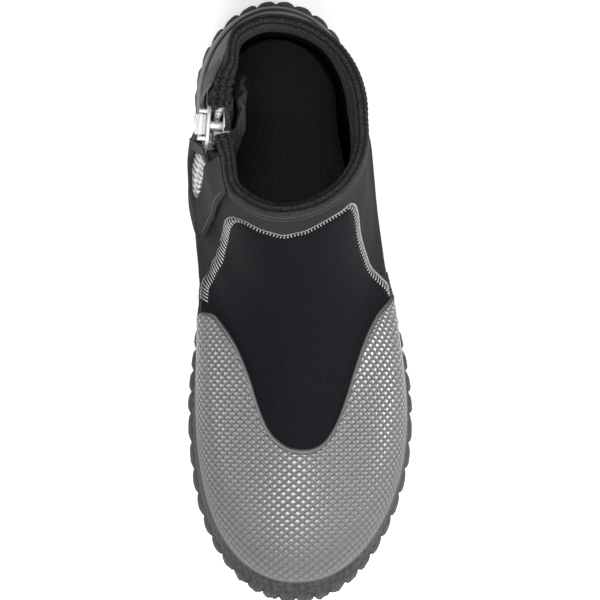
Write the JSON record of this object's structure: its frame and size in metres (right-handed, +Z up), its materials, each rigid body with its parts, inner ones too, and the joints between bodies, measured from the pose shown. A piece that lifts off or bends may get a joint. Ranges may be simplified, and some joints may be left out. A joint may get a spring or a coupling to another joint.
{
  "type": "diving boot",
  "caption": "Left neoprene diving boot: hollow ankle-high upper with side zip, grey rubber toe cap and heel counter, lugged cup sole and hinged zip pull.",
  "frame": {"origin": "on the floor under the middle of the boot's bounding box", "axes": "+Z up, +Y from toe to heel, -X towards the inner side with the zip"},
  "size_m": [0.1122, 0.2991, 0.1536],
  "materials": {
    "neoprene": "matte knit-faced neoprene",
    "grey_rubber": "satin moulded rubber with a raised diamond grain",
    "sole_rubber": "matte moulded rubber",
    "footbed_foam": "matte cloth-faced foam",
    "binding_tape": "woven tape",
    "zip_fabric": "woven zip fabric",
    "zip_plastic": "silvered moulded plastic"
  },
  "bodies": {
    "boot": {"outsole": "sole_rubber", "insole": "footbed_foam", "upper": "neoprene", "toe_cap": "grey_rubber", "heel_counter": "grey_rubber", "collar_binding": "binding_tape", "zip_tape_heel": "zip_fabric", "zip_tape_toe": "zip_fabric", "zip_teeth_heel": "zip_plastic", "zip_teeth_toe": "zip_plastic", "zip_slider": "zip_plastic", "zip_gusset": "zip_fabric", "placket_heel": "zip_fabric", "placket_toe": "zip_fabric", "zip_keeper": "binding_tape"},
    "pull_tab": {"zip_pull": "zip_plastic"}
  },
  "joints": [
    {"name": "pull_hinge", "type": "hinge", "parent": "boot", "child": "pull_tab", "pos_m": [-0.04403, 0.07776, 0.1271], "axis": [0.0764, 0.9971, 0], "range_deg": [0, 150]}
  ]
}
